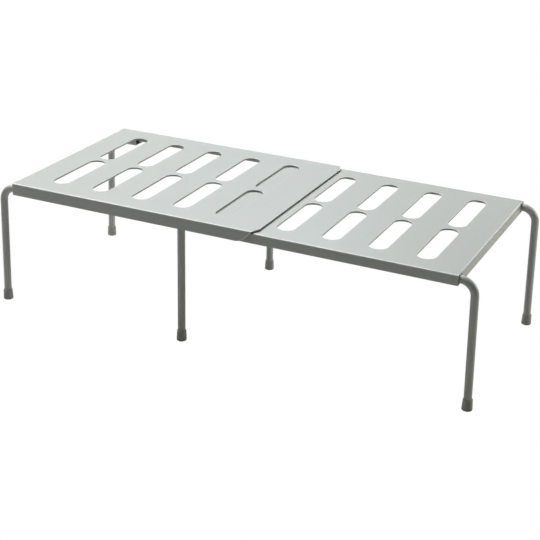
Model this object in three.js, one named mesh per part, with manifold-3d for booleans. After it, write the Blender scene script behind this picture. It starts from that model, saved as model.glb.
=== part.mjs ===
// Expandable cabinet shelf: two slotted sheet-steel decks on round rod legs, one deck sliding over the other.
// Millimetres, +Z up, +X along the shelf, origin on the floor in the middle of the footprint.
// Each deck is modelled from its leg end, which lies at x = 0 in the shelf's own group.

import * as THREE from "three";
import { mergeVertices } from "three/addons/utils/BufferGeometryUtils.js";
import Module from "manifold-3d";

// Decks
const OUTER_LENGTH = 305.5;
const OUTER_DEPTH = 240;
const INNER_LENGTH = 315.5;
const DECK_HEIGHT = 149;
const SHEET = 1.2;
const FOLD_INSIDE_RADIUS = 0.4;
const FLANGE_HEIGHT = 13.8;
const EXTENSION = 219.5;

// Clearances between the sliding decks, round seated pieces, and beside the rods in the end flanges' windows
const TOP_GAP = 1.2;
const SIDE_GAP = 0.5;
const SEAT_GAP = 0.3;
const WINDOW_GAP = 2;

// Slots: rows of round-ended openings that run along the depth
const SLOT_WIDTH = 22;
const SLOT_PITCH = 52;
const SLOT_LEG_MARGIN = 33;
const SLOT_TAIL_MARGIN = 42;
const SLOT_SIDE_MARGIN = 25;
const SLOT_BRIDGE = 6;

// Cut corners at the outer deck's overlapping end
const CORNER_CUT_LENGTH = 5;
const CORNER_CUT_DEPTH = 11;
const FLANGE_TAIL_RADIUS = 14;
const FLANGE_TAIL_SLANT = Math.PI / 4;

// The strip of the end flange that is left below each rod's window
const WINDOW_STRIP = 1.7;

// Legs
const ROD_DIAMETER = 8.5;
const BEND_RADIUS = 16;
const LEG_REACH = 19.5;
const LEG_SPLAY = THREE.MathUtils.degToRad(1.4);
const TAIL_PROUD = 2;

// Brackets that box the rod tails into the deck corners
const BRACKET_SETBACK = 10;
const BRACKET_LENGTH = 18;
const BRACKET_DEPTH = 19;

// Foot caps
const FOOT_HEIGHT = 12;
const FOOT_FLOOR = 2.5;
const FOOT_RIM_WALL = 0.6;
const FOOT_BASE_WALL = 1.2;
const FOOT_EDGE_RADIUS = 1.2;

// Roundness: straight steps in each round stretch
const ROD_SIDES = 20;
const BEND_STEPS = 8;
const FOLD_STEPS = 4;
const SLOT_END_STEPS = 16;
const FOOT_SIDES = 24;
const FOOT_EDGE_STEPS = 4;

// An arc in an outline is drawn with two steps for each curve segment asked for.
const STEPS_PER_SEGMENT = 2;

// A cutter, or a stretch that is joined on, reaches this far past the surface that it meets.
const CUT_PAST = 1;
const WELD_TOLERANCE = 1e-4;

// Sizes that follow from the ones above
const FOLD_RADIUS = FOLD_INSIDE_RADIUS + SHEET;
const ROD_RADIUS = ROD_DIAMETER / 2;
const ROD_INSET = SHEET + SEAT_GAP + ROD_RADIUS;
const LEG_TAIL = BRACKET_SETBACK + BRACKET_LENGTH + TAIL_PROUD;
const WINDOW_DEPTH = ROD_INSET + ROD_RADIUS + WINDOW_GAP;
const DECK_STEP = SHEET + TOP_GAP;
const HALF_SPAN = (OUTER_LENGTH + EXTENSION) / 2;
const SLOT_ROW_LENGTH = (OUTER_DEPTH - 2 * SLOT_SIDE_MARGIN - SLOT_BRIDGE) / 2;

const OUTER = {
  length: OUTER_LENGTH,
  depth: OUTER_DEPTH,
  top: DECK_HEIGHT,
  flange: FLANGE_HEIGHT,
};

// The inner deck fits inside the outer one, with the lower edges of their flanges level.
const INNER = {
  length: INNER_LENGTH,
  depth: OUTER_DEPTH - 2 * (SHEET + SIDE_GAP),
  top: DECK_HEIGHT - DECK_STEP,
  flange: FLANGE_HEIGHT - DECK_STEP,
};

// The rods of both decks lie level, close under the inner deck, and pass over the strips of the end flanges.
const ROD_HEIGHT = INNER.top - ROD_INSET;
const WINDOW_FLOOR = ROD_HEIGHT - ROD_RADIUS - SEAT_GAP;
const END_FLANGE_LOW = WINDOW_FLOOR - WINDOW_STRIP;

const COATED_DECK = { color: 0xa6a8a3, roughness: 0.35, metalness: 0 };
const COATED_ROD = { color: 0xa6a8a3, roughness: 0.35, metalness: 0 };
const VINYL_FOOT = { color: 0x9b9e98, roughness: 0.6, metalness: 0 };

// Axes for outlines drawn across the depth (y, z) and along the length (x, z)
const X_AXIS = new THREE.Vector3(1, 0, 0);
const Y_AXIS = new THREE.Vector3(0, 1, 0);
const Z_AXIS = new THREE.Vector3(0, 0, 1);
const ACROSS = new THREE.Matrix4().makeBasis(Y_AXIS, Z_AXIS, X_AXIS);
const ALONG = new THREE.Matrix4().makeBasis(X_AXIS, Z_AXIS, Y_AXIS.clone().negate());

const wasm = await Module();
wasm.setup();

function solidOf(geometry) {
  const bare = geometry.clone();
  bare.deleteAttribute("normal");
  bare.deleteAttribute("uv");
  const welded = mergeVertices(bare, WELD_TOLERANCE);
  const mesh = new wasm.Mesh({
    numProp: 3,
    vertProperties: new Float32Array(welded.attributes.position.array),
    triVerts: new Uint32Array(welded.index.array),
  });
  return new wasm.Manifold(mesh);
}

function geometryOf(solid) {
  const { vertProperties, triVerts } = solid.getMesh();
  const geometry = new THREE.BufferGeometry();
  geometry.setAttribute("position", new THREE.BufferAttribute(new Float32Array(vertProperties), 3));
  geometry.setIndex(new THREE.BufferAttribute(new Uint32Array(triVerts), 1));
  const faceted = geometry.toNonIndexed();
  faceted.computeVertexNormals();
  return faceted;
}

function prism(outline, depth, steps) {
  const curveSegments = steps / STEPS_PER_SEGMENT;
  return new THREE.ExtrudeGeometry(outline, { depth, curveSegments, bevelEnabled: false });
}

// An outline in (y, z), run along x from the start given
function runAcross(outline, start, length, steps = FOLD_STEPS) {
  return prism(outline, length, steps).applyMatrix4(ACROSS).translate(start, 0, 0);
}

// An outline in (x, z), centred on y = middle and as wide as given
function runAlong(outline, middle, width, steps = FOLD_STEPS) {
  return prism(outline, width, steps).applyMatrix4(ALONG).translate(0, middle + width / 2, 0);
}

function polygon(points) {
  return new THREE.Shape(points.map(([u, v]) => new THREE.Vector2(u, v)));
}

// The folded cross-section: a flat top with a flange down each side
function channelOutline({ depth, top, flange }) {
  const half = depth / 2;
  const bend = half - FOLD_RADIUS;
  const bendHeight = top - FOLD_RADIUS;
  const outline = new THREE.Shape();
  outline.moveTo(half - SHEET, top - flange);
  outline.lineTo(half, top - flange);
  outline.lineTo(half, bendHeight);
  outline.absarc(bend, bendHeight, FOLD_RADIUS, 0, Math.PI / 2, false);
  outline.lineTo(-bend, top);
  outline.absarc(-bend, bendHeight, FOLD_RADIUS, Math.PI / 2, Math.PI, false);
  outline.lineTo(-half, top - flange);
  outline.lineTo(SHEET - half, top - flange);
  outline.lineTo(SHEET - half, bendHeight);
  outline.absarc(-bend, bendHeight, FOLD_INSIDE_RADIUS, Math.PI, Math.PI / 2, true);
  outline.lineTo(bend, top - SHEET);
  outline.absarc(bend, bendHeight, FOLD_INSIDE_RADIUS, Math.PI / 2, 0, true);
  outline.closePath();
  return outline;
}

// The end flange's section at x = 0: folded down from the deck's edge
function endFlangeOutline({ top }) {
  const bendHeight = top - FOLD_RADIUS;
  const outline = new THREE.Shape();
  outline.moveTo(FOLD_RADIUS + CUT_PAST, top - SHEET);
  outline.lineTo(FOLD_RADIUS + CUT_PAST, top);
  outline.lineTo(FOLD_RADIUS, top);
  outline.absarc(FOLD_RADIUS, bendHeight, FOLD_RADIUS, Math.PI / 2, Math.PI, false);
  outline.lineTo(0, END_FLANGE_LOW);
  outline.lineTo(SHEET, END_FLANGE_LOW);
  outline.lineTo(SHEET, bendHeight);
  outline.absarc(FOLD_RADIUS, bendHeight, FOLD_INSIDE_RADIUS, Math.PI, Math.PI / 2, true);
  outline.closePath();
  return outline;
}

function slotOutline() {
  const radius = SLOT_WIDTH / 2;
  const straight = SLOT_ROW_LENGTH / 2 - radius;
  const outline = new THREE.Shape();
  outline.absarc(0, straight, radius, 0, Math.PI, false);
  outline.absarc(0, -straight, radius, Math.PI, 2 * Math.PI, false);
  outline.closePath();
  return outline;
}

function slotCutters({ length, top }) {
  const room = length - SLOT_LEG_MARGIN - SLOT_TAIL_MARGIN - SLOT_WIDTH;
  const columns = Math.floor(room / SLOT_PITCH) + 1;
  const rowOffset = (SLOT_ROW_LENGTH + SLOT_BRIDGE) / 2;
  const cutters = [];
  for (let column = 0; column < columns; column += 1) {
    for (const row of [-1, 1]) {
      const slot = prism(slotOutline(), SHEET + 2 * CUT_PAST, SLOT_END_STEPS);
      const x = SLOT_LEG_MARGIN + SLOT_WIDTH / 2 + column * SLOT_PITCH;
      cutters.push(slot.translate(x, row * rowOffset, top - SHEET - CUT_PAST));
    }
  }
  return cutters;
}

// The strip that carries the end flange on below the rods' windows and into the side flanges
function windowStrip({ depth }) {
  const outline = polygon([
    [0, END_FLANGE_LOW],
    [SHEET, END_FLANGE_LOW],
    [SHEET, WINDOW_FLOOR],
    [0, WINDOW_FLOOR],
  ]);
  return runAlong(outline, 0, depth - SHEET);
}

// The flange's end at the overlap: slanted, with a wide round lower corner that fits the slant's length
function flangeTailCutters({ length, depth, top, flange }) {
  const high = top - FOLD_RADIUS;
  const low = top - flange;
  const start = length - CORNER_CUT_LENGTH;
  const slantLength = (high - low) / Math.sin(FLANGE_TAIL_SLANT);
  const tangentShare = Math.tan(FLANGE_TAIL_SLANT / 2);
  const radius = Math.min(FLANGE_TAIL_RADIUS, slantLength / tangentShare);
  const foot = start - slantLength * Math.cos(FLANGE_TAIL_SLANT) - radius * tangentShare;
  const outline = new THREE.Shape();
  outline.moveTo(length + CUT_PAST, low - CUT_PAST);
  outline.lineTo(length + CUT_PAST, high);
  outline.lineTo(start, high);
  outline.absarc(foot, low + radius, radius, FLANGE_TAIL_SLANT - Math.PI / 2, -Math.PI / 2, true);
  outline.lineTo(foot, low - CUT_PAST);
  outline.closePath();
  return [-1, 1].map((side) => runAlong(outline, side * (depth - SHEET) / 2, SHEET + 2 * CUT_PAST));
}

// The slanted corners of the outer deck's top at its overlapping end
function cornerCutters({ length, depth, top, flange }) {
  const half = depth / 2;
  const slope = CORNER_CUT_DEPTH / CORNER_CUT_LENGTH;
  const past = CUT_PAST * slope;
  const tall = flange + 2 * CUT_PAST;
  return [-1, 1].map((side) => {
    const corner = [
      [length - CORNER_CUT_LENGTH - CUT_PAST, half + past],
      [length + CUT_PAST, half + past],
      [length + CUT_PAST, half - CORNER_CUT_DEPTH - past],
    ];
    const outline = polygon(corner.map(([x, y]) => [x, side * y]));
    return prism(outline, tall, FOLD_STEPS).translate(0, 0, top - flange - CUT_PAST);
  });
}

function deckGeometry(deck, { cutTail }) {
  const flangeWidth = deck.depth - 2 * WINDOW_DEPTH;
  const edge = polygon([
    [-CUT_PAST, deck.top - SHEET - CUT_PAST],
    [FOLD_RADIUS, deck.top - SHEET - CUT_PAST],
    [FOLD_RADIUS, deck.top + CUT_PAST],
    [-CUT_PAST, deck.top + CUT_PAST],
  ]);
  const cutters = slotCutters(deck);
  if (cutTail) {
    cutters.push(...flangeTailCutters(deck), ...cornerCutters(deck));
  }
  let solid = solidOf(runAcross(channelOutline(deck), 0, deck.length));
  solid = solid.subtract(solidOf(runAlong(edge, 0, flangeWidth)));
  solid = solid.add(solidOf(runAlong(endFlangeOutline(deck), 0, flangeWidth)));
  solid = solid.add(solidOf(windowStrip(deck)));
  for (const cutter of cutters) {
    solid = solid.subtract(solidOf(cutter));
  }
  return geometryOf(solid);
}

// A path through stations with their directions, so that straight runs take no extra steps
class RodPath extends THREE.Curve {
  constructor(stations) {
    super();
    this.stations = stations;
  }

  getUtoTmapping(u) {
    return u;
  }

  stationAt(t) {
    return this.stations[Math.round(t * (this.stations.length - 1))];
  }

  getPoint(t, target = new THREE.Vector3()) {
    return target.copy(this.stationAt(t).point);
  }

  getTangent(t, target = new THREE.Vector3()) {
    return target.copy(this.stationAt(t).direction);
  }
}

function rodOutline() {
  const outline = new THREE.Shape();
  outline.absarc(0, 0, ROD_RADIUS, 0, 2 * Math.PI, false);
  return outline;
}

// A leg bent from one rod: its tail lies along the deck's corner and leaves by the end flange's window, then it
// turns down and runs, a little splayed, through the middle of its foot's socket.
function bentLegGeometry() {
  const low = FOOT_FLOOR + SEAT_GAP;
  const lean = Math.tan(LEG_SPLAY);
  const sweep = Math.PI / 2 - LEG_SPLAY;
  const bendEndHeight = ROD_HEIGHT - BEND_RADIUS * (1 - Math.cos(sweep));
  const bendEnd = lean * (bendEndHeight - (FOOT_FLOOR + FOOT_HEIGHT) / 2) - LEG_REACH;
  const bendStart = bendEnd + BEND_RADIUS * Math.sin(sweep);
  const stations = [{
    point: new THREE.Vector3(LEG_TAIL, 0, ROD_HEIGHT),
    direction: new THREE.Vector3(-1, 0, 0),
  }];
  for (let step = 0; step <= BEND_STEPS; step += 1) {
    const turn = (step / BEND_STEPS) * sweep;
    stations.push({
      point: new THREE.Vector3(
        bendStart - BEND_RADIUS * Math.sin(turn),
        0,
        ROD_HEIGHT - BEND_RADIUS * (1 - Math.cos(turn)),
      ),
      direction: new THREE.Vector3(-Math.cos(turn), 0, -Math.sin(turn)),
    });
  }
  stations.push({
    point: new THREE.Vector3(bendEnd - lean * (bendEndHeight - low), 0, low),
    direction: new THREE.Vector3(-Math.sin(LEG_SPLAY), 0, -Math.cos(LEG_SPLAY)),
  });
  return new THREE.ExtrudeGeometry(rodOutline(), {
    steps: stations.length - 1,
    curveSegments: ROD_SIDES / STEPS_PER_SEGMENT,
    extrudePath: new RodPath(stations),
  });
}

// A straight leg, up to the underside of the deck
function straightLegGeometry(deck) {
  const low = FOOT_FLOOR + SEAT_GAP;
  const high = deck.top - SHEET - SEAT_GAP;
  return prism(rodOutline(), high - low, ROD_SIDES).translate(0, 0, low);
}

// A flared cap with a rounded lower edge and a blind socket for the rod
function footGeometry() {
  const socket = ROD_RADIUS + SEAT_GAP;
  const base = socket + FOOT_BASE_WALL;
  const profile = new THREE.Path();
  profile.moveTo(0, 0);
  profile.lineTo(base - FOOT_EDGE_RADIUS, 0);
  profile.absarc(base - FOOT_EDGE_RADIUS, FOOT_EDGE_RADIUS, FOOT_EDGE_RADIUS, -Math.PI / 2, 0, false);
  profile.lineTo(socket + FOOT_RIM_WALL, FOOT_HEIGHT);
  profile.lineTo(socket, FOOT_HEIGHT);
  profile.lineTo(socket, FOOT_FLOOR);
  profile.lineTo(0, FOOT_FLOOR);
  const points = profile.getPoints(FOOT_EDGE_STEPS / STEPS_PER_SEGMENT);
  const lathe = new THREE.LatheGeometry(points, FOOT_SIDES);
  return lathe.rotateX(Math.PI / 2);
}

// An angle that closes the deck's corner into a box round the rod's tail, level with the window's floor, drawn
// for the corner at +y
function bracketGeometry(deck) {
  const outside = deck.depth / 2 - SHEET - SEAT_GAP;
  const inside = deck.depth / 2 - BRACKET_DEPTH;
  const high = deck.top - SHEET - SEAT_GAP;
  const bendY = inside + FOLD_RADIUS;
  const bendZ = WINDOW_FLOOR + FOLD_INSIDE_RADIUS;
  const outline = new THREE.Shape();
  outline.moveTo(outside, WINDOW_FLOOR - SHEET);
  outline.lineTo(outside, WINDOW_FLOOR);
  outline.lineTo(bendY, WINDOW_FLOOR);
  outline.absarc(bendY, bendZ, FOLD_INSIDE_RADIUS, -Math.PI / 2, -Math.PI, true);
  outline.lineTo(inside + SHEET, high);
  outline.lineTo(inside, high);
  outline.lineTo(inside, bendZ);
  outline.absarc(bendY, bendZ, FOLD_RADIUS, Math.PI, 1.5 * Math.PI, false);
  outline.closePath();
  return runAcross(outline, BRACKET_SETBACK, BRACKET_LENGTH);
}

function piece(name, geometry, finish) {
  const mesh = new THREE.Mesh(geometry, new THREE.MeshStandardMaterial(finish));
  mesh.name = name;
  return mesh;
}

function place(group, mesh, x, y) {
  mesh.position.set(x, y, 0);
  group.add(mesh);
}

// The two bent legs of a shelf, each with its bracket and foot; front is the sign of y that faces the front.
function addBentLegs(group, prefix, deck, front) {
  for (const [word, side] of [["front", front], ["back", -front]]) {
    const y = side * (deck.depth / 2 - ROD_INSET);
    place(group, piece(`${prefix}_${word}_leg`, bentLegGeometry(), COATED_ROD), 0, y);
    place(group, piece(`${prefix}_${word}_foot`, footGeometry(), VINYL_FOOT), -LEG_REACH, y);
    const bracket = piece(`${prefix}_${word}_bracket`, bracketGeometry(deck), COATED_ROD);
    if (side < 0) {
      bracket.rotation.z = Math.PI;
      place(group, bracket, 2 * BRACKET_SETBACK + BRACKET_LENGTH, 0);
    } else {
      place(group, bracket, 0, 0);
    }
  }
}

// The two straight legs under the far end of the inner deck
function addMiddleLegs(group, deck, front) {
  const x = deck.length - SEAT_GAP - ROD_RADIUS;
  for (const [word, side] of [["front", front], ["back", -front]]) {
    const y = side * (deck.depth / 2 - ROD_INSET);
    place(group, piece(`middle_${word}_leg`, straightLegGeometry(deck), COATED_ROD), x, y);
    place(group, piece(`middle_${word}_foot`, footGeometry(), VINYL_FOOT), x, y);
  }
}

// The outer shelf starts at the left, and the inner one is turned round to start at the right.
function buildShelf() {
  const outer = new THREE.Group();
  outer.position.x = -HALF_SPAN;
  outer.add(piece("outer_deck", deckGeometry(OUTER, { cutTail: true }), COATED_DECK));
  addBentLegs(outer, "left", OUTER, -1);

  const inner = new THREE.Group();
  inner.position.x = HALF_SPAN;
  inner.rotation.z = Math.PI;
  inner.add(piece("inner_deck", deckGeometry(INNER, { cutTail: false }), COATED_DECK));
  addBentLegs(inner, "right", INNER, 1);
  addMiddleLegs(inner, INNER, 1);

  const shelf = new THREE.Group();
  shelf.name = "expandable_shelf";
  shelf.add(outer, inner);
  return shelf;
}

export default buildShelf();
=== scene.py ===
"""Expandable cabinet shelf: two slotted, folded steel decks on rod legs, one deck sliding over the other.

Metres, +Z up, +X along the shelf, origin on the floor in the middle of the footprint.
"""

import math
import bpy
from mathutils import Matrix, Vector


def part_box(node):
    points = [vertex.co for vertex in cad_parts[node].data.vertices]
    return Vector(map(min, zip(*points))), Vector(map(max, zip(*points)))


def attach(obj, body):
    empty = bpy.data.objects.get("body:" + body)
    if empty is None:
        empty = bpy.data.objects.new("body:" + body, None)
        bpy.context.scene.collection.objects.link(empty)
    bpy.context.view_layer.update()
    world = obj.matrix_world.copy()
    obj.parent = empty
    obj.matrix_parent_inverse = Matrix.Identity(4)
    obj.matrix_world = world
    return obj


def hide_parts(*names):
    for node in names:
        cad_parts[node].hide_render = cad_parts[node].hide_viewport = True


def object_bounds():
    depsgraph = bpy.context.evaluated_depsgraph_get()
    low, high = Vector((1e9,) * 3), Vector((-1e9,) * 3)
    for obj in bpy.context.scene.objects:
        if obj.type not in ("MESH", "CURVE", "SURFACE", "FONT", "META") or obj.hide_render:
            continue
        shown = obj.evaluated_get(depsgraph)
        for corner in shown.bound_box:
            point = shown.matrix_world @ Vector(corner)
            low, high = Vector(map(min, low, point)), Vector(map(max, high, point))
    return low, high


bl_info = {
    "name": "Expandable cabinet shelf",
    "version": (1, 0, 0),
    "blender": (4, 5, 0),
    "location": "View3D > Sidebar > Shelf",
    "description": "Builds a powder-coated cabinet shelf whose two slotted decks slide over each other",
    "category": "Add Mesh",
}

from typing import NamedTuple

import bmesh
import bpy
from bpy.props import FloatProperty, FloatVectorProperty, IntProperty, PointerProperty
from mathutils import Matrix, Vector

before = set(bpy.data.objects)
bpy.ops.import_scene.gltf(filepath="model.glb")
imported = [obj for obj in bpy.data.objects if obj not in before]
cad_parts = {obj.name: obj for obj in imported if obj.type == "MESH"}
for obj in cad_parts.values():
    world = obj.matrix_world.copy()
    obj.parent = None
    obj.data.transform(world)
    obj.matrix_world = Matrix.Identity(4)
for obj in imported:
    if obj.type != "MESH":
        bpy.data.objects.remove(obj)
CAD_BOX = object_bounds()

MM = 0.001
NEAR = 0.01 * MM
QUARTER_TURN = math.pi / 2
HALF_TURN = math.pi
X_AXIS = Vector((1, 0, 0))
Y_AXIS = Vector((0, 1, 0))
Z_AXIS = Vector((0, 0, 1))

# Edges that turn by more than this are rounded
ROUNDED_ANGLE = math.radians(40)
# Edges that turn by less than this are shaded smooth
SMOOTH_ANGLE = math.radians(35)

# Least part of the normal along an axis on a face that is square to it
SQUARE = 0.999
# Most upward part of the normal on a face that stands upright
UPRIGHT = 0.5

SLOT_ROWS = 2

OUTER_BODY = "outer_shelf"
INNER_BODY = "inner_shelf"

# Scales of the noise in the relief of the powder coat and of the vinyl
COAT_GRAIN = {"Peel Scale": 900, "Grain Scale": 3500}
VINYL_GRAIN = {"Peel Scale": 1500, "Grain Scale": 6000}

# Scales of the noise in the colour, broad and fine, and the level that it strays from
CLOUD_SCALE = 14
FLECK_SCALE = 350
NOISE_MIDDLE = 0.5

# How far the gloss and the relief follow the finest grain
GRAIN_GLOSS = 0.12
GRAIN_RELIEF = 0.3

# Upward part of the normal where the painted highlight on a fold begins and is full, from the flat top and
# from the flange
TOP_TO_FOLD = (0.998, 0.96)
FLANGE_TO_FOLD = (0.25, 0.5)

# Agreement of the normal with its rounded one where the lighter edge, partly wear and partly painted
# highlight, begins and is full
FACE_TO_EDGE = (0.995, 0.85)
# Samples taken round a point to find its rounded normal
EDGE_SAMPLES = 6


class Softbox(NamedTuple):
    """A soft rectangular light: its place, what it faces, its sides in metres, its watts and its colour."""

    name: str
    place: tuple
    target: tuple
    sides: tuple
    power: float
    colour: tuple


DECK_MIDDLE = (0, 0, CAD_BOX[1][2])
SOFTBOXES = (
    Softbox(
        "tent", place=(-0.6, 0.5, 1.55), target=DECK_MIDDLE, sides=(1.8, 1.7), power=45,
        colour=(0.82, 0.915, 1)),
    Softbox(
        "overhead_left", place=(-0.9, 0.3, 1.5), target=DECK_MIDDLE, sides=(1.2, 1.0), power=16,
        colour=(1, 0.87, 0.845)),
    Softbox(
        "overhead_front", place=(-0.6, -0.5, 1.6), target=DECK_MIDDLE, sides=(1.0, 0.8), power=4.5,
        colour=(1, 0.89, 0.58)),
    Softbox(
        "right_floor", place=(1.2, 0.8, 0.45), target=(1.2, 0.8, 0), sides=(0.8, 1.2), power=19,
        colour=(1, 0.95, 0.76)),
    Softbox(
        "back_right_floor", place=(0.8, 1.1, 0.6), target=(0.8, 1.1, 0), sides=(1.0, 1.0), power=8,
        colour=(0.97, 0.98, 1)),
)


def length_property(name, description, millimetres):
    return FloatProperty(
        name=name, description=description, default=millimetres * MM, unit="LENGTH", precision=4)


def count_property(name, description, default):
    return IntProperty(name=name, description=description, default=default, min=1)


def share_property(name, description, default):
    return FloatProperty(
        name=name, description=description, default=default, min=0, max=1, subtype="FACTOR")


def colour_property(name, description, default):
    return FloatVectorProperty(
        name=name, description=description, default=default, min=0, max=1, subtype="COLOR")


def angle_property(name, description, degrees):
    return FloatProperty(
        name=name, description=description, default=math.radians(degrees), subtype="ANGLE")


class SheetSizes(bpy.types.PropertyGroup):
    """Sizes of the folded decks and brackets that the frame's boxes don't give."""

    thickness: length_property("Sheet", "Thickness of the steel sheet", 1.2)
    fold_inside: length_property("Fold radius", "Inside radius of each fold", 0.4)
    fold_steps: count_property("Fold steps", "Faces round each fold", 6)
    edge_round: length_property("Edge round", "Radius of the coated cut edges", 0.2)
    edge_steps: count_property("Edge steps", "Faces round each cut edge", 2)
    window: length_property("Rod window", "Depth left open in the end flange at each corner", 12)
    window_strip: length_property("Window strip", "Height of the end flange below the windows", 1.7)
    end_drop: length_property("End drop", "How far the end flange hangs below the side flanges", 0.6)
    weld_gap: length_property("Weld gap", "Gap between the end flange's strips and the sides", 0.1)
    corner_length: length_property("Corner length", "Cut along the overlapping end's corners", 5)
    corner_depth: length_property("Corner depth", "Cut across the overlapping end's corners", 11)
    tail_radius: length_property("Tail radius", "Round lower corner where the outer flange ends", 14)
    tail_slant: angle_property("Tail slant", "Lean of the outer flange's end", 45)

    @property
    def fold(self):
        """Outside radius of each fold."""
        return self.fold_inside + self.thickness


class SlotSizes(bpy.types.PropertyGroup):
    """Sizes of the round-ended slots in the decks."""

    width: length_property("Slot width", "Width along the shelf", 22)
    length: length_property("Slot length", "Length across the depth", 92)
    pitch: length_property("Slot pitch", "Distance from column to column", 52)
    bridge: length_property("Bridge", "Strip left between the two rows", 6)
    margin: length_property("Leg margin", "Strip left between the leg end and the first column", 33)
    columns: count_property("Columns", "Slots along each row", 5)
    end_steps: count_property("End steps", "Straight steps round both ends of a slot", 64)
    rim_inset: length_property("Rim inset", "How far the turned-down rim narrows each side", 0.7)
    rim_round: length_property("Rim round", "Radius of the turned-down rim", 0.45)
    rim_depth: length_property("Rim depth", "How far the rim reaches below the deck's top", 2.1)
    rim_steps: count_property("Rim steps", "Faces round each rim", 3)


class RodSizes(bpy.types.PropertyGroup):
    """Sizes of the rod legs and their foot caps that the frame's boxes don't give."""

    diameter: length_property("Rod", "Diameter of the leg rod", 8.5)
    bend_radius: length_property("Bend radius", "Radius of the bend on the rod's axis", 16)
    splay: angle_property("Splay", "Lean of the bent legs, outwards towards the floor", 1.4)
    sides: count_property("Rod sides", "Faces round the rod", 48)
    bend_steps: count_property("Bend steps", "Rings round the bend", 20)
    end_round: length_property("End round", "Radius of the rod's sawn ends", 0.6)
    foot_rim_wall: length_property("Cap rim wall", "Wall of the foot cap at its rim", 0.6)
    foot_base_wall: length_property("Cap base wall", "Wall of the foot cap near the floor", 1.2)
    foot_floor: length_property("Cap floor", "Floor thickness of the foot cap", 2.5)
    foot_edge: length_property("Cap edge", "Radius of the foot cap's lower edge", 1.2)
    foot_rim_round: length_property("Cap rim round", "Radius of the foot cap's rim", 0.25)
    round_steps: count_property("Round steps", "Faces round each rounded rod or cap edge", 4)


class CoatFinish(bpy.types.PropertyGroup):
    """Colours and surface of the powder coat and the vinyl caps."""

    deck_colour: colour_property("Deck", "Powder coat of the decks", (0.38, 0.392, 0.366))
    rod_colour: colour_property("Rods", "Powder coat of rods and brackets", (0.38, 0.392, 0.366))
    foot_colour: colour_property("Caps", "Vinyl of the foot caps", (0.33, 0.34, 0.315))
    # Lighter colour for wear with painted highlight on the edges, and for the painted highlight on the
    # folds
    wear_and_highlight_colour: colour_property("Wear", "Worn coat on edges and folds", (0.8, 0.8, 0.78))
    # Painted shade on the slots' walls
    slot_wall_shade_colour: colour_property("Cuts", "Thin coat on the walls of the slots", (0.1, 0.095, 0.08))
    coat_roughness: share_property("Coat roughness", "Gloss of the coat, mirror to matt", 0.3)
    vinyl_roughness: share_property("Vinyl roughness", "Gloss of the caps, mirror to matt", 0.6)
    sheen: share_property("Sheen", "Strength of the reflection on coat and vinyl", 0.75)
    mottle: share_property("Mottle", "How far the colour strays over the surface", 0.05)
    speckle: share_property("Speckle", "How far the colour strays from grain to grain", 0.08)
    coat_bump: share_property("Coat bump", "Strength of the coat's relief", 0.5)
    vinyl_bump: share_property("Vinyl bump", "Strength of the vinyl's relief", 0.3)
    relief: length_property("Relief", "Depth of the relief at full strength", 0.05)
    # Lighter coat along the edges: partly wear, partly painted highlight
    edge_wear_and_highlight: share_property("Edge wear", "How much lighter the coat is along its edges", 0.22)
    # Lighter vinyl along the caps' edges: partly wear, partly painted highlight
    vinyl_edge_wear_and_highlight: share_property("Vinyl wear", "How much lighter the caps are along their edges", 0.11)
    # Strength of the painted highlight on the folds
    painted_fold_highlight: share_property("Fold wear", "How much lighter the coat is on rubbed folds", 0.5)
    # Lighter colour on the outer flange's slanted end: painted highlight with thin-coat wear
    tail_wear_and_highlight: share_property("Tail wear", "How much lighter the outer flange's end is", 1)
    # Strength of the painted shade on the slots' walls
    slot_wall_shade: share_property("Cut shade", "How far the slots' walls take their own colour", 0.2)
    edge_width: length_property("Edge width", "How far the lighter coat reaches from an edge", 2)


class StageSettings(bpy.types.PropertyGroup):
    """The camera, the floor and the surround."""

    camera_place: FloatVectorProperty(
        name="Camera", description="Where the camera stands", default=(0.57568, -1.21881, 0.64196),
        subtype="TRANSLATION", unit="LENGTH")
    azimuth: angle_property("Azimuth", "Turn of the camera round the shelf", 25.083)
    elevation: angle_property("Elevation", "Angle at which the camera looks down", 23.648)
    roll: angle_property("Roll", "Tilt of the picture", 1.473)
    focal_length: FloatProperty(
        name="Lens", description="Focal length of the lens, in millimetres", default=84.82)
    sensor: FloatProperty(name="Sensor", description="Width of the sensor, in millimetres", default=36)
    floor_size: length_property("Floor", "Side of the square floor", 12000)
    floor_colour: colour_property("Floor colour", "Colour of the floor and backdrop", (1, 1, 1))
    floor_bounce: share_property("Floor bounce", "Light that the floor throws back", 0.5)
    surround: share_property("Surround", "Light that comes from all sides", 0.01)


class ShelfSettings(bpy.types.PropertyGroup):
    """Everything that a user would change about the shelf."""

    sheet: PointerProperty(type=SheetSizes)
    slots: PointerProperty(type=SlotSizes)
    rods: PointerProperty(type=RodSizes)
    finish: PointerProperty(type=CoatFinish)
    stage: PointerProperty(type=StageSettings)


# Modelling tools

def near(a, b):
    return abs(a - b) < NEAR


def middle(part):
    """The middle of an edge's or a face's corners."""
    return sum((v.co for v in part.verts), Vector()) / len(part.verts)


def lies_at(edge, height):
    """Whether an edge lies level at a height."""
    return all(near(v.co.z, height) for v in edge.verts)


def meets_wall(edge):
    """Whether one of an edge's faces stands upright."""
    return any(abs(f.normal.z) < UPRIGHT for f in edge.link_faces)


def begin(name, add_primitive, **settings):
    """Add a primitive by itself, put its place into its mesh and open it for editing."""
    bpy.ops.object.select_all(action="DESELECT")
    add_primitive(**settings)
    piece = bpy.context.object
    piece.name = piece.data.name = name
    bpy.ops.object.transform_apply(location=True, rotation=True, scale=True)
    bpy.ops.object.mode_set(mode="EDIT")
    bpy.ops.mesh.select_mode(type="VERT")
    bpy.ops.mesh.select_all(action="SELECT")
    return piece


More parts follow.
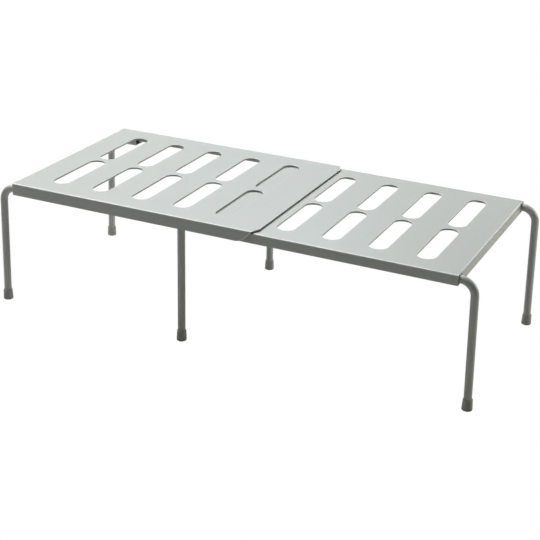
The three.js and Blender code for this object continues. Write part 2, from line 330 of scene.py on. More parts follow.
def pick(kind, test):
    """Select only the vertices, edges or faces that pass the test."""
    bpy.ops.mesh.select_mode(type=kind)
    bpy.ops.mesh.select_all(action="DESELECT")
    mesh = bmesh.from_edit_mesh(bpy.context.object.data)
    mesh.normal_update()
    parts = {"VERT": mesh.verts, "EDGE": mesh.edges, "FACE": mesh.faces}[kind]
    chosen = [part for part in parts if test(part)]
    if not chosen:
        raise RuntimeError(f"nothing to select on {bpy.context.object.name}")
    for part in chosen:
        part.select_set(True)
    mesh.select_flush_mode()
    bmesh.update_edit_mesh(bpy.context.object.data)


def extrude(x, y, z):
    bpy.ops.mesh.extrude_region_move(TRANSFORM_OT_translate={"value": (x, y, z)})


def close_normals():
    """Merge corners that coincide and turn all faces outwards."""
    bpy.ops.mesh.select_mode(type="FACE")
    bpy.ops.mesh.select_all(action="SELECT")
    bpy.ops.mesh.remove_doubles(threshold=NEAR)
    bpy.ops.mesh.normals_make_consistent(inside=False)


def end_edit():
    bpy.ops.object.mode_set(mode="OBJECT")


def apply_modifier(kind, **settings):
    """Add a modifier to the active piece, set it and apply it."""
    bpy.ops.object.modifier_add(type=kind)
    modifier = bpy.context.object.modifiers[-1]
    for name, value in settings.items():
        setattr(modifier, name, value)
    bpy.ops.object.modifier_apply(modifier=modifier.name)


def thicken(sheet):
    """Give the active skin the sheet's thickness, inwards."""
    apply_modifier("SOLIDIFY", thickness=sheet.thickness, offset=-1, use_even_offset=True)


def round_cut_edges(sheet):
    """Round the sharp edges of the active piece as the coat does."""
    apply_modifier(
        "BEVEL", width=sheet.edge_round, segments=sheet.edge_steps, limit_method="ANGLE",
        angle_limit=ROUNDED_ANGLE)


def smooth_shade():
    """Shade the rounded edges smooth and keep the flat faces flat."""
    bpy.ops.object.shade_smooth_by_angle(angle=SMOOTH_ANGLE)
    apply_modifier("WEIGHTED_NORMAL", keep_sharp=True)


def only(piece):
    """Make a piece the active one and the only one selected."""
    bpy.ops.object.select_all(action="DESELECT")
    piece.select_set(True)
    bpy.context.view_layer.objects.active = piece


def copy_of(piece, name):
    """A copy with its own mesh."""
    only(piece)
    bpy.ops.object.duplicate(linked=False)
    copied = bpy.context.object
    copied.name = copied.data.name = name
    return copied


def move(piece, offset, turn, centre=(0, 0, 0)):
    """Turn a piece about the vertical, move it and put its place into its mesh."""
    only(piece)
    if turn:
        bpy.ops.transform.rotate(value=turn, orient_axis="Z", center_override=centre)
    bpy.ops.transform.translate(value=offset)
    bpy.ops.object.transform_apply(location=True, rotation=True, scale=True)


def hand_over(piece, node, body, material):
    """Give a finished piece its material, and tie it to the CAD node and body that it stands for."""
    piece.data.materials.clear()
    piece.data.materials.append(material)
    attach(piece, body)
    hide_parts(node)


# Decks

def fold_edge(axis, centre, turn, steps, drop):
    """Fold the selected edges round an axis and run a flange down from the fold."""
    bpy.ops.mesh.spin(steps=steps, angle=turn, center=centre, axis=axis, use_auto_merge=False)
    extrude(0, 0, -drop)


def cut_away(test, point, towards):
    """Cut the faces that pass the test by a plane, and delete what lies on its far side."""
    pick("FACE", test)
    bpy.ops.mesh.bisect(plane_co=point, plane_no=towards)
    pick("FACE", lambda f: test(f) and (middle(f) - Vector(point)).dot(Vector(towards)) > 0)
    bpy.ops.mesh.delete(type="FACE")


def fold_deck(name, length, half, top, flange_low, end_low, sheet):
    """The deck's outer skin from its leg end at x = 0: a flat top, two side flanges and an end flange."""
    fold = sheet.fold
    flat = half - fold
    window = half - sheet.window
    strip_top = end_low + sheet.window_strip
    centre = ((fold + length) / 2, 0, top)
    deck = begin(name, bpy.ops.mesh.primitive_plane_add, size=1, location=centre)
    bpy.ops.transform.resize(value=(length - fold, 2 * flat, 1), center_override=centre)
    for side in (-1, 1):
        bpy.ops.mesh.select_all(action="SELECT")
        bpy.ops.mesh.bisect(plane_co=(0, side * window, top), plane_no=Y_AXIS)
    pick("EDGE", lambda e: near(middle(e).x, fold) and abs(middle(e).y) > window)
    extrude(-fold, 0, 0)
    for side in (-1, 1):
        pick("EDGE", lambda e: e.is_boundary and near(middle(e).y, side * flat))
        centre = (0, side * flat, top - fold)
        fold_edge(X_AXIS, centre, side * QUARTER_TURN, sheet.fold_steps, top - fold - flange_low)
    pick("EDGE", lambda e: near(middle(e).x, fold) and abs(middle(e).y) < window)
    fold_edge(Y_AXIS, (fold, 0, top - fold), QUARTER_TURN, sheet.fold_steps, top - fold - end_low)
    pick("FACE", lambda f: near(middle(f).x, 0))
    bpy.ops.mesh.bisect(plane_co=(0, 0, strip_top), plane_no=Z_AXIS)
    for side in (-1, 1):
        pick("EDGE", lambda e: near(middle(e).x, 0) and near(middle(e).y, side * window)
             and middle(e).z < strip_top)
        extrude(0, side * (sheet.window - sheet.thickness - sheet.weld_gap), 0)
    close_normals()
    return deck


def on_side_flange(face):
    return abs(face.normal.y) > SQUARE


def on_top_or_fold(face):
    return face.normal.z > NEAR


def trim_tail(length, half, top, flange_low, sheet):
    """Slant the side flanges' ends with a wide round corner, and cut the top's corners."""
    start = length - sheet.corner_length
    flange_top = top - sheet.fold
    slant = sheet.tail_slant
    cut_away(on_side_flange, (start, 0, flange_top), (math.sin(slant), 0, -math.cos(slant)))
    foot = start - (flange_top - flange_low) / math.tan(slant)
    pick("VERT", lambda v: near(v.co.x, foot) and near(v.co.z, flange_low))
    tangent = sheet.tail_radius * math.tan(slant / 2)
    bpy.ops.mesh.bevel(offset=tangent, affect="VERTICES", segments=2 * sheet.fold_steps)
    for side in (-1, 1):
        point = (length, side * (half - sheet.corner_depth), top)
        across = Vector((sheet.corner_depth, side * sheet.corner_length, 0))
        cut_away(on_top_or_fold, point, across.normalized())


def slot_bars(wider, low, high, slots):
    """Round-ended bars in both rows of a deck's slots, wider than the slots by so much all round."""
    step = 2 * math.pi / slots.end_steps
    half = slots.width / 2
    straight = slots.length - slots.width
    start = (slots.margin + half, -slots.bridge / 2 - slots.length + half, low)
    bars = begin(
        "slot_bars", bpy.ops.mesh.primitive_circle_add, vertices=slots.end_steps,
        radius=(half + wider) / math.cos(step / 2), fill_type="NGON", location=start,
        rotation=(0, 0, step / 2))
    pick("VERT", lambda v: v.co.y > start[1])
    bpy.ops.transform.translate(value=(0, straight, 0))
    bpy.ops.mesh.select_mode(type="FACE")
    bpy.ops.mesh.select_all(action="SELECT")
    extrude(0, 0, high - low)
    close_normals()
    end_edit()
    next_column = (slots.pitch, 0, 0)
    other_row = (0, slots.length + slots.bridge, 0)
    for count, offset in ((slots.columns, next_column), (SLOT_ROWS, other_row)):
        apply_modifier(
            "ARRAY", count=count, use_relative_offset=False, use_constant_offset=True,
            constant_offset_displace=offset)
    return bars


def combine(piece, tool, operation):
    """Join a tool to a piece or cut it out of the piece, and throw the tool away."""
    only(piece)
    apply_modifier("BOOLEAN", operation=operation, object=tool, solver="EXACT")
    bpy.data.objects.remove(tool)


def cut_slots(deck, top, sheet, slots):
    """Cut the deck's slots, each with a rim that turns down into a short collar."""
    collar = sheet.thickness - slots.rim_inset
    collars = slot_bars(collar, top - slots.rim_depth, top - sheet.thickness / 2, slots)
    combine(deck, collars, "UNION")
    reach = 2 * slots.rim_depth
    openings = slot_bars(-slots.rim_inset, top - reach, top + reach, slots)
    combine(deck, openings, "DIFFERENCE")
    last = slots.margin + (slots.columns - 1) * slots.pitch + slots.width

    def on_rim(edge):
        return lies_at(edge, top) and slots.margin < middle(edge).x < last and meets_wall(edge)

    bpy.ops.object.mode_set(mode="EDIT")
    pick("EDGE", on_rim)
    bpy.ops.mesh.bevel(
        offset=slots.rim_round, affect="EDGES", segments=slots.rim_steps, loop_slide=False,
        clamp_overlap=False)
    end_edit()


def make_deck(name, node, body, cut_tail, turn, settings, material):
    """Fold, trim, thicken and slot one deck, and set it where its CAD node is."""
    sheet = settings.sheet
    low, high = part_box(node)
    flange_low = low.z + sheet.end_drop
    length = high.x - low.x
    half = high.y
    top = high.z
    deck = fold_deck(name, length, half, top, flange_low, low.z, sheet)
    if cut_tail:
        trim_tail(length, half, top, flange_low, sheet)
    close_normals()
    end_edit()
    thicken(sheet)
    cut_slots(deck, top, sheet, settings.slots)
    round_cut_edges(sheet)
    leg_end = high.x if turn else low.x
    move(deck, (leg_end, 0, 0), turn)
    smooth_shade()
    hand_over(deck, node, body, material)


# Legs

def round_end(ring, rods):
    """Close a rod's open end and round its rim."""
    pick("EDGE", ring)
    bpy.ops.mesh.edge_face_add()
    pick("EDGE", ring)
    bpy.ops.mesh.bevel(offset=rods.end_round, affect="EDGES", segments=rods.round_steps)


def make_bent_leg(name, node, foot, rods):
    """A rod that lies in the deck's corner, bends past the deck's end and runs, splayed, into its foot."""
    low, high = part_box(node)
    foot_low, foot_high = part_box(foot)
    foot_x = (foot_low.x + foot_high.x) / 2
    socket_middle = (foot_low.z + rods.foot_floor + foot_high.z) / 2
    radius = rods.diameter / 2
    outward = math.copysign(1, foot_x)
    tail = low.x if outward > 0 else high.x
    y = (low.y + high.y) / 2
    height = high.z - radius
    sweep = QUARTER_TURN - rods.splay
    lean = outward * math.tan(rods.splay)
    bend_low = height - rods.bend_radius * (1 - math.cos(sweep))
    bend_end = foot_x - lean * (bend_low - socket_middle)
    bend_start = bend_end - outward * rods.bend_radius * math.sin(sweep)
    bend_centre = (bend_start, y, height - rods.bend_radius)
    along = Vector((outward * math.sin(rods.splay), 0, -math.cos(rods.splay)))
    drop = bend_low - low.z - radius * math.sin(rods.splay)
    run = along * (drop / math.cos(rods.splay))
    end = Vector((bend_end, y, bend_low)) + run
    leg = begin(
        name, bpy.ops.mesh.primitive_circle_add, vertices=rods.sides, radius=radius, fill_type="NOTHING",
        location=(tail, y, height), rotation=(0, QUARTER_TURN, 0))
    extrude(bend_start - tail, 0, 0)
    bpy.ops.mesh.spin(
        steps=rods.bend_steps, angle=-outward * sweep, center=bend_centre, axis=Y_AXIS,
        use_auto_merge=False)
    extrude(*run)
    round_end(lambda e: all(near(v.co.x, tail) for v in e.verts), rods)
    round_end(lambda e: all(near((v.co - end).dot(along), 0) for v in e.verts), rods)
    close_normals()
    end_edit()
    smooth_shade()
    return leg


def make_straight_leg(name, node, rods):
    """A straight rod from its foot up to the deck."""
    low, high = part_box(node)
    centre = (low + high) / 2
    leg = begin(
        name, bpy.ops.mesh.primitive_circle_add, vertices=rods.sides, radius=rods.diameter / 2,
        fill_type="NOTHING", location=(centre.x, centre.y, low.z))
    extrude(0, 0, high.z - low.z)
    for height in (low.z, high.z):
        round_end(lambda e: lies_at(e, height), rods)
    close_normals()
    end_edit()
    smooth_shade()
    return leg


def make_foot(name, node, rods):
    """A flared cap with a blind socket that the rod stands in."""
    low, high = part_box(node)
    centre = (low + high) / 2
    base = (high.x - low.x) / 2
    rim = base - rods.foot_base_wall + rods.foot_rim_wall
    flare = rim / base
    foot = begin(
        name, bpy.ops.mesh.primitive_circle_add, vertices=rods.sides, radius=base, fill_type="NGON",
        location=(centre.x, centre.y, low.z))
    extrude(0, 0, high.z - low.z)
    bpy.ops.transform.resize(value=(flare, flare, 1), center_override=(centre.x, centre.y, high.z))
    bpy.ops.mesh.inset(thickness=rods.foot_rim_wall)
    extrude(0, 0, rods.foot_floor - high.z + low.z)
    pick("EDGE", lambda e: lies_at(e, low.z))
    bpy.ops.mesh.bevel(offset=rods.foot_edge, affect="EDGES", segments=rods.round_steps)
    pick("EDGE", lambda e: lies_at(e, high.z) and meets_wall(e))
    bpy.ops.mesh.bevel(offset=rods.foot_rim_round, affect="EDGES", segments=rods.round_steps)
    close_normals()
    end_edit()
    smooth_shade()
    return foot


def make_bracket(name, node, sheet):
    """An angle that closes the deck's back corner into a box round the rod's tail."""
    low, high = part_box(node)
    centre = (low + high) / 2
    place = (centre.x, centre.y, low.z)
    bracket = begin(name, bpy.ops.mesh.primitive_plane_add, size=1, location=place)
    bpy.ops.transform.resize(value=(high.x - low.x, high.y - low.y, 1), center_override=place)
    pick("EDGE", lambda e: near(middle(e).y, low.y))
    extrude(0, 0, high.z - low.z)
    pick("EDGE", lambda e: near(middle(e).y, low.y) and near(middle(e).z, low.z))
    bpy.ops.mesh.bevel(offset=sheet.fold, affect="EDGES", segments=sheet.fold_steps)
    close_normals()
    bpy.ops.mesh.flip_normals()
    end_edit()
    thicken(sheet)
    round_cut_edges(sheet)
    smooth_shade()
    return bracket


# Finishes

def new_node(tree, kind, x, y, sockets=None, **settings):
    """Add a shader node, and set its own settings and its unlinked sockets."""
    node = tree.nodes.new(kind)
    node.location = (x, y)
    for name, value in settings.items():
        setattr(node, name, value)
    for socket, value in (sockets or {}).items():
        node.inputs[socket].default_value = value
    return node


def maths(tree, x, y, operation, *terms):
    """A value worked out from sockets and plain numbers."""
    node = new_node(tree, "ShaderNodeMath", x, y, operation=operation)
    for socket, term in zip(node.inputs, terms):
        if isinstance(term, bpy.types.NodeSocket):
            tree.links.new(term, socket)
        else:
            socket.default_value = term
    return node.outputs["Value"]


def ramp(tree, x, y, value, start, end):
    """A value that rises from 0 to 1 between two limits."""
    node = new_node(tree, "ShaderNodeMapRange", x, y, {"From Min": start, "From Max": end})
    tree.links.new(value, node.inputs["Value"])
    return node.outputs["Result"]


def split(tree, x, y, vector):
    """The X, Y and Z of a vector."""
    node = new_node(tree, "ShaderNodeSeparateXYZ", x, y)
    tree.links.new(vector, node.inputs["Vector"])
    return node.outputs


def blend(tree, x, y, mask, under, over):
    """A colour that gives way to a plain one where the mask is."""
    node = new_node(tree, "ShaderNodeMix", x, y, {"B": (*over, 1)}, data_type="RGBA")
    tree.links.new(mask, node.inputs["Factor"])
    tree.links.new(under, node.inputs["A"])
    return node.outputs["Result"]


def group_node(tree, x, y, build, sockets):
    """Add a node for a group, which is built when it is first needed, and set its sockets."""
    name = build.__name__
    if name not in bpy.data.node_groups:
        build(bpy.data.node_groups.new(name, "ShaderNodeTree"))
    return new_node(tree, "ShaderNodeGroup", x, y, sockets, node_tree=bpy.data.node_groups[name])


def open_group(group, inputs, outputs):
    """Give a group its sockets, and add the nodes for what it takes, what it makes and its coordinates."""
    for way, labels in (("INPUT", inputs), ("OUTPUT", outputs)):
        for label in labels:
            kind = "NodeSocketColor" if label == "Colour" else "NodeSocketFloat"
            group.interface.new_socket(label, in_out=way, socket_type=kind)
    given = new_node(group, "NodeGroupInput", -900, 0).outputs
    made = new_node(group, "NodeGroupOutput", 700, 0).inputs
    place = new_node(group, "ShaderNodeTexCoord", -900, -300).outputs
    return given, made, place


def coat_texture(group):
    """A sprayed or moulded skin: its mottled colour, its uneven gloss and its fine relief."""
    inputs = ("Colour", "Roughness", "Mottle", "Speckle", "Peel Scale", "Grain Scale")
    given, made, place = open_group(group, inputs, ("Colour", "Roughness", "Height"))
    link = group.links.new
    cloud = new_node(group, "ShaderNodeTexNoise", -600, 300, {"Scale": CLOUD_SCALE, "Detail": 3})
    fleck = new_node(group, "ShaderNodeTexNoise", -600, 600, {"Scale": FLECK_SCALE, "Detail": 1})
    peel = new_node(group, "ShaderNodeTexNoise", -600, 0, {"Detail": 2})
    grain = new_node(group, "ShaderNodeTexNoise", -600, -300, {"Detail": 1})
    for noise in (cloud, fleck, peel, grain):
        link(place["Object"], noise.inputs["Vector"])
    link(given["Peel Scale"], peel.inputs["Scale"])
    link(given["Grain Scale"], grain.inputs["Scale"])

    shade = 1
    for noise, amount in ((cloud, "Mottle"), (fleck, "Speckle")):
        y = noise.location.y
        stray = maths(group, -300, y, "SUBTRACT", noise.outputs["Fac"], NOISE_MIDDLE)
        shade = maths(group, -100, y, "MULTIPLY_ADD", stray, given[amount], shade)
    tint = new_node(group, "ShaderNodeVectorMath", 200, 300, operation="SCALE")
    link(given["Colour"], tint.inputs[0])
    link(shade, tint.inputs["Scale"])
    link(tint.outputs["Vector"], made["Colour"])

    fine = grain.outputs["Fac"]
    link(maths(group, 0, 0, "MULTIPLY_ADD", fine, GRAIN_GLOSS, given["Roughness"]), made["Roughness"])
    link(maths(group, 0, -300, "MULTIPLY_ADD", fine, GRAIN_RELIEF, peel.outputs["Fac"]), made["Height"])


def painted_fold_highlight_mask(group):
    """A mask for the painted highlight on the rounded upper side of the folds, found by the slope of the
    surface.
    """
    given, made, place = open_group(group, ("Amount",), ("Mask",))
    slope = split(group, -600, -300, place["Normal"])["Z"]
    off_top = ramp(group, -300, -200, slope, *TOP_TO_FOLD)
    off_flange = ramp(group, -300, -500, slope, *FLANGE_TO_FOLD)
    fold = maths(group, 0, -300, "MULTIPLY", off_top, off_flange)
    group.links.new(maths(group, 300, 0, "MULTIPLY", fold, given["Amount"]), made["Mask"])


def slot_wall_shade_mask(group):
    """A mask for painted shade on the slots' walls in a deck's top: upright, inside the folds and high
    enough.
    """
    inputs = ("Amount", "Low", "Half Length", "Half Depth", "Slope")
    given, made, place = open_group(group, inputs, ("Mask",))
    point = split(group, -700, -200, place["Object"])
    facing = split(group, -700, -400, place["Normal"])
    above = maths(group, -100, 200, "GREATER_THAN", point["Z"], given["Low"])
    mask = maths(group, 100, 200, "MULTIPLY", given["Amount"], above)
    limits = {"Half Length": point["X"], "Half Depth": point["Y"], "Slope": facing["Z"]}
    for limit, value in limits.items():
        size = maths(group, -400, 0, "ABSOLUTE", value)
        within = maths(group, -100, 0, "LESS_THAN", size, given[limit])
        mask = maths(group, 100, 0, "MULTIPLY", mask, within)
    group.links.new(mask, made["Mask"])


def edge_wear_and_highlight_mask(group):
    """A mask of lighter coat along outer edges, partly wear and partly painted highlight, with its own
    amount beyond a place along the shelf and below a height.
    """
    inputs = ("Width", "Amount", "Tail Amount", "Tail Start", "Tail Top")
    given, made, place = open_group(group, inputs, ("Mask",))
    link = group.links.new
    rounded = new_node(group, "ShaderNodeBevel", -600, 200, samples=EDGE_SAMPLES)
    link(given["Width"], rounded.inputs["Radius"])
    surface = new_node(group, "ShaderNodeNewGeometry", -600, -100)
    agree = new_node(group, "ShaderNodeVectorMath", -300, 100, operation="DOT_PRODUCT")
    link(rounded.outputs["Normal"], agree.inputs[0])
    link(surface.outputs["Normal"], agree.inputs[1])
    differ = ramp(group, -100, 100, agree.outputs["Value"], *FACE_TO_EDGE)
    point = split(group, -600, -300, place["Object"])
    beyond = maths(group, -300, -300, "GREATER_THAN", point["X"], given["Tail Start"])
    below = maths(group, -300, -500, "LESS_THAN", point["Z"], given["Tail Top"])
    amount = new_node(group, "ShaderNodeMix", 100, -100)
    link(maths(group, -100, -300, "MULTIPLY", beyond, below), amount.inputs["Factor"])
    link(given["Amount"], amount.inputs["A"])
    link(given["Tail Amount"], amount.inputs["B"])
    link(maths(group, 300, 0, "MULTIPLY", differ, amount.outputs["Result"]), made["Mask"])


def skin_material(name, skin, wear, bump, finish, fold=0.0, tail=None, cuts=None):
    """A satin skin: textured colour and gloss, with a painted highlight on its folds, and lighter along its
    edges with wear and painted highlight.
    """
    if name in bpy.data.materials:
        return bpy.data.materials[name]
    material = bpy.data.materials.new(name)
    material.use_nodes = True
    tree = material.node_tree
    tree.nodes.clear()
    link = tree.links.new
    output = new_node(tree, "ShaderNodeOutputMaterial", 700, 0)
    shader = new_node(tree, "ShaderNodeBsdfPrincipled", 400, 0, {"Specular IOR Level": finish.sheen})
    link(shader.outputs["BSDF"], output.inputs["Surface"])
    stray = {"Mottle": finish.mottle, "Speckle": finish.speckle}
    texture = group_node(tree, -400, 0, coat_texture, {**skin, **stray}).outputs
    # Edges lighter with wear and painted highlight
    wear_and_highlight_sockets = {"Width": finish.edge_width, "Amount": wear, "Tail Amount": wear, **(tail or {})}
    edges = group_node(tree, -400, 300, edge_wear_and_highlight_mask, wear_and_highlight_sockets).outputs["Mask"]
    # Painted highlight on the upper side of the folds
    folds = group_node(tree, -400, 500, painted_fold_highlight_mask, {"Amount": fold}).outputs["Mask"]
    # Wear with painted highlight on the edges, and painted highlight on the folds, lighten the colour
    lighter = maths(tree, -200, 400, "MAXIMUM", edges, folds)
    colour = blend(tree, 0, 200, lighter, texture["Colour"], finish.wear_and_highlight_colour)
    # Painted shade darkens the slots' walls
    if cuts:
        walls = group_node(tree, 0, 500, slot_wall_shade_mask, cuts).outputs["Mask"]
        colour = blend(tree, 200, 200, walls, colour, finish.slot_wall_shade_colour)
    link(colour, shader.inputs["Base Color"])
    link(texture["Roughness"], shader.inputs["Roughness"])
    relief = new_node(tree, "ShaderNodeBump", 0, -200, {"Strength": bump, "Distance": finish.relief})
    link(texture["Height"], relief.inputs["Height"])
    link(relief.outputs["Normal"], shader.inputs["Normal"])
    return material


def powder_coat(name, colour, finish, **features):
    """Satin powder coat on steel."""
    skin = {"Colour": (*colour, 1), "Roughness": finish.coat_roughness, **COAT_GRAIN}
    return skin_material(name, skin, finish.edge_wear_and_highlight, finish.coat_bump, finish, **features)


def deck_coat(name, node, settings, tail=None):
    """A deck's coat, with a painted highlight on its folds, painted shade on its slot walls and, at the
    outer flange's end, a cut edge lighter with wear and painted highlight.
    """
    finish = settings.finish
    fold = settings.sheet.fold
    low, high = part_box(node)
    # Where the slots' walls get painted shade
    cuts = {
        "Amount": finish.slot_wall_shade,
        "Low": high.z - settings.slots.rim_depth,
        "Half Length": max(-low.x, high.x) - fold,
        "Half Depth": high.y - fold,
        "Slope": UPRIGHT,
    }
    return powder_coat(name, finish.deck_colour, finish, fold=finish.painted_fold_highlight, tail=tail, cuts=cuts)


def rod_coat(finish):
    return powder_coat("rod_powder_coat", finish.rod_colour, finish)


def cap_vinyl(finish):
    """Matt vinyl with a finer grain than the coat's."""
    skin = {"Colour": (*finish.foot_colour, 1), "Roughness": finish.vinyl_roughness, **VINYL_GRAIN}
    return skin_material("cap_vinyl", skin, finish.vinyl_edge_wear_and_highlight, finish.vinyl_bump, finish)


# Stage

def set_camera(stage):
    """The camera at the place, turn and tilt given."""
    azimuth = stage.azimuth
    elevation = stage.elevation
    roll = stage.roll
    level = math.cos(elevation)
    ahead = Vector((-math.sin(azimuth) * level, math.cos(azimuth) * level, -math.sin(elevation)))
    right = Vector((math.cos(azimuth), math.sin(azimuth), 0))
    up = right.cross(ahead)
    across = right * math.cos(roll) + up * math.sin(roll)
    upward = up * math.cos(roll) - right * math.sin(roll)
    lens = bpy.data.cameras.new("shelf_camera")
    lens.lens = stage.focal_length
    lens.sensor_width = stage.sensor
    camera = bpy.data.objects.new("shelf_camera", lens)
    bpy.context.scene.collection.objects.link(camera)
    turn = Matrix((across, upward, -ahead)).transposed().to_4x4()
    camera.matrix_world = Matrix.Translation(stage.camera_place) @ turn
    bpy.context.scene.camera = camera


def grey(level):
    return (level, level, level, 1)


def show_and_light(tree, output, shown, lighting):
    """Show one shader to the camera, and let another light the shelf."""
    ray = new_node(tree, "ShaderNodeLightPath", 0, 400)
    choice = new_node(tree, "ShaderNodeMixShader", 250, 0)
    tree.links.new(ray.outputs["Is Camera Ray"], choice.inputs["Fac"])
    tree.links.new(lighting, choice.inputs[1])
    tree.links.new(shown, choice.inputs[2])
    tree.links.new(choice.outputs["Shader"], output.inputs["Surface"])


def make_floor(stage):
    """A plain white floor that throws light back on the shelf, and shows as evenly white itself."""
    bpy.ops.object.select_all(action="DESELECT")
    bpy.ops.mesh.primitive_plane_add(size=stage.floor_size)
    floor = bpy.context.object
    floor.name = floor.data.name = "floor"
    material = bpy.data.materials.new("floor_white")
    material.use_nodes = True
    tree = material.node_tree
    tree.nodes.clear()
    output = new_node(tree, "ShaderNodeOutputMaterial", 500, 0)
    glow = new_node(tree, "ShaderNodeEmission", 0, 100, {"Color": (*stage.floor_colour, 1)})
    matt = new_node(tree, "ShaderNodeBsdfDiffuse", 0, -100, {"Color": grey(stage.floor_bounce)})
    show_and_light(tree, output, glow.outputs["Emission"], matt.outputs["BSDF"])
    floor.data.materials.append(material)


def add_softbox(box):
    light = bpy.data.lights.new(box.name, "AREA")
    light.shape = "RECTANGLE"
    light.size, light.size_y = box.sides
    light.energy = box.power
    light.color = box.colour
    lamp = bpy.data.objects.new(box.name, light)
    bpy.context.scene.collection.objects.link(lamp)
    lamp.location = box.place
    facing = Vector(box.target) - Vector(box.place)
    lamp.rotation_euler = facing.to_track_quat("-Z", "Y").to_euler()


def light_stage(stage):
    """Soft boxes above and beside the shelf, over a dim surround."""
    world = bpy.data.worlds.new("studio")
    bpy.context.scene.world = world
    world.use_nodes = True
    tree = world.node_tree
    tree.nodes.clear()
    output = new_node(tree, "ShaderNodeOutputWorld", 500, 0)
    backdrop = new_node(tree, "ShaderNodeBackground", 0, 100, {"Color": (*stage.floor_colour, 1)})
    surround = new_node(tree, "ShaderNodeBackground", 0, -100, {"Color": grey(stage.surround)})
    show_and_light(tree, output, backdrop.outputs["Background"], surround.outputs["Background"])
    for box in SOFTBOXES:
        add_softbox(box)


# Operators

class SHELF_OT_make_decks(bpy.types.Operator):
    """Fold, trim and slot the outer deck and the inner deck"""

    bl_idname = "shelf.make_decks"
    bl_label = "Make decks"
    bl_options = {"REGISTER", "UNDO"}

    def execute(self, context):
        settings = context.scene.shelf
        sheet = settings.sheet
        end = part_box("outer_deck")[1]
        # The outer flange's slanted end gets a lighter cut edge: painted highlight with wear
        tail = {
            "Tail Amount": settings.finish.tail_wear_and_highlight,
            "Tail Start": end.x - sheet.corner_length - sheet.tail_radius,
            "Tail Top": end.z - sheet.fold,
        }
        outer_coat = deck_coat("outer_powder_coat", "outer_deck", settings, tail)
        inner_coat = deck_coat("inner_powder_coat", "inner_deck", settings)
        make_deck("outer_deck_sheet", "outer_deck", OUTER_BODY, True, 0, settings, outer_coat)
        make_deck("inner_deck_sheet", "inner_deck", INNER_BODY, False, HALF_TURN, settings, inner_coat)
        return {"FINISHED"}


class SHELF_OT_make_bent_legs(bpy.types.Operator):
    """Bend the two left and the two right legs from rod"""

    bl_idname = "shelf.make_bent_legs"
    bl_label = "Make bent legs"
    bl_options = {"REGISTER", "UNDO"}

    def execute(self, context):
        settings = context.scene.shelf
        coat = rod_coat(settings.finish)
        for end, body in (("left", OUTER_BODY), ("right", INNER_BODY)):
            for side in ("front", "back"):
                node = f"{end}_{side}_leg"
                rod = make_bent_leg(f"{end}_{side}_rod", node, f"{end}_{side}_foot", settings.rods)
                hand_over(rod, node, body, coat)
        return {"FINISHED"}


class SHELF_OT_make_middle_legs(bpy.types.Operator):
    """Cut the two straight middle legs from rod"""

    bl_idname = "shelf.make_middle_legs"
    bl_label = "Make middle legs"
    bl_options = {"REGISTER", "UNDO"}

    def execute(self, context):
        settings = context.scene.shelf
        coat = rod_coat(settings.finish)
        for side in ("front", "back"):
            node = f"middle_{side}_leg"
            rod = make_straight_leg(f"middle_{side}_rod", node, settings.rods)
            hand_over(rod, node, INNER_BODY, coat)
        return {"FINISHED"}


class SHELF_OT_make_feet(bpy.types.Operator):
    """Mould a foot cap under each leg"""

    bl_idname = "shelf.make_feet"
    bl_label = "Make foot caps"
    bl_options = {"REGISTER", "UNDO"}

    def execute(self, context):
        settings = context.scene.shelf
        vinyl = cap_vinyl(settings.finish)
        for end, body in (("left", OUTER_BODY), ("middle", INNER_BODY), ("right", INNER_BODY)):
            for side in ("front", "back"):
                node = f"{end}_{side}_foot"
                cap = make_foot(f"{end}_{side}_cap", node, settings.rods)
                hand_over(cap, node, body, vinyl)
        return {"FINISHED"}


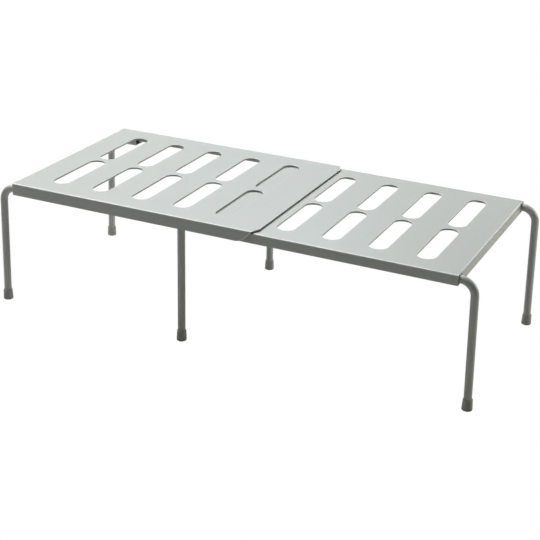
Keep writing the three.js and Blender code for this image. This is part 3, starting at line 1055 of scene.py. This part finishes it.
class SHELF_OT_make_brackets(bpy.types.Operator):
    """Fold a bracket for each deck's back corner and turn a copy to its front corner"""

    bl_idname = "shelf.make_brackets"
    bl_label = "Make brackets"
    bl_options = {"REGISTER", "UNDO"}

    def execute(self, context):
        settings = context.scene.shelf
        coat = rod_coat(settings.finish)
        for end, body in (("left", OUTER_BODY), ("right", INNER_BODY)):
            back_node = f"{end}_back_bracket"
            front_node = f"{end}_front_bracket"
            back = make_bracket(f"{end}_back_angle", back_node, settings.sheet)
            front = copy_of(back, f"{end}_front_angle")
            low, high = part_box(back_node)
            front_low, front_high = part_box(front_node)
            centre = (low + high) / 2
            move(front, (front_low + front_high) / 2 - centre, HALF_TURN, centre)
            hand_over(back, back_node, body, coat)
            hand_over(front, front_node, body, coat)
        return {"FINISHED"}


class SHELF_OT_make_stage(bpy.types.Operator):
    """Set the camera, the floor and the soft studio light"""

    bl_idname = "shelf.make_stage"
    bl_label = "Make stage"
    bl_options = {"REGISTER", "UNDO"}

    def execute(self, context):
        stage = context.scene.shelf.stage
        set_camera(stage)
        make_floor(stage)
        light_stage(stage)
        context.scene.view_settings.view_transform = "Standard"
        return {"FINISHED"}


class SHELF_PT_panel(bpy.types.Panel):
    """The shelf's steps, in order"""

    bl_idname = "SHELF_PT_panel"
    bl_label = "Expandable shelf"
    bl_space_type = "VIEW_3D"
    bl_region_type = "UI"
    bl_category = "Shelf"

    def draw(self, context):
        for step in STEPS:
            self.layout.operator(step.bl_idname)


STEPS = (
    SHELF_OT_make_decks,
    SHELF_OT_make_bent_legs,
    SHELF_OT_make_middle_legs,
    SHELF_OT_make_feet,
    SHELF_OT_make_brackets,
    SHELF_OT_make_stage,
)

CLASSES = (
    SheetSizes,
    SlotSizes,
    RodSizes,
    CoatFinish,
    StageSettings,
    ShelfSettings,
    *STEPS,
    SHELF_PT_panel,
)


def register():
    for cls in CLASSES:
        bpy.utils.register_class(cls)
    bpy.types.Scene.shelf = PointerProperty(type=ShelfSettings)


def unregister():
    del bpy.types.Scene.shelf
    for cls in reversed(CLASSES):
        bpy.utils.unregister_class(cls)


def main():
    register()
    bpy.ops.shelf.make_decks()
    bpy.ops.shelf.make_bent_legs()
    bpy.ops.shelf.make_middle_legs()
    bpy.ops.shelf.make_feet()
    bpy.ops.shelf.make_brackets()
    bpy.ops.shelf.make_stage()


if __name__ == "__main__":
    main()
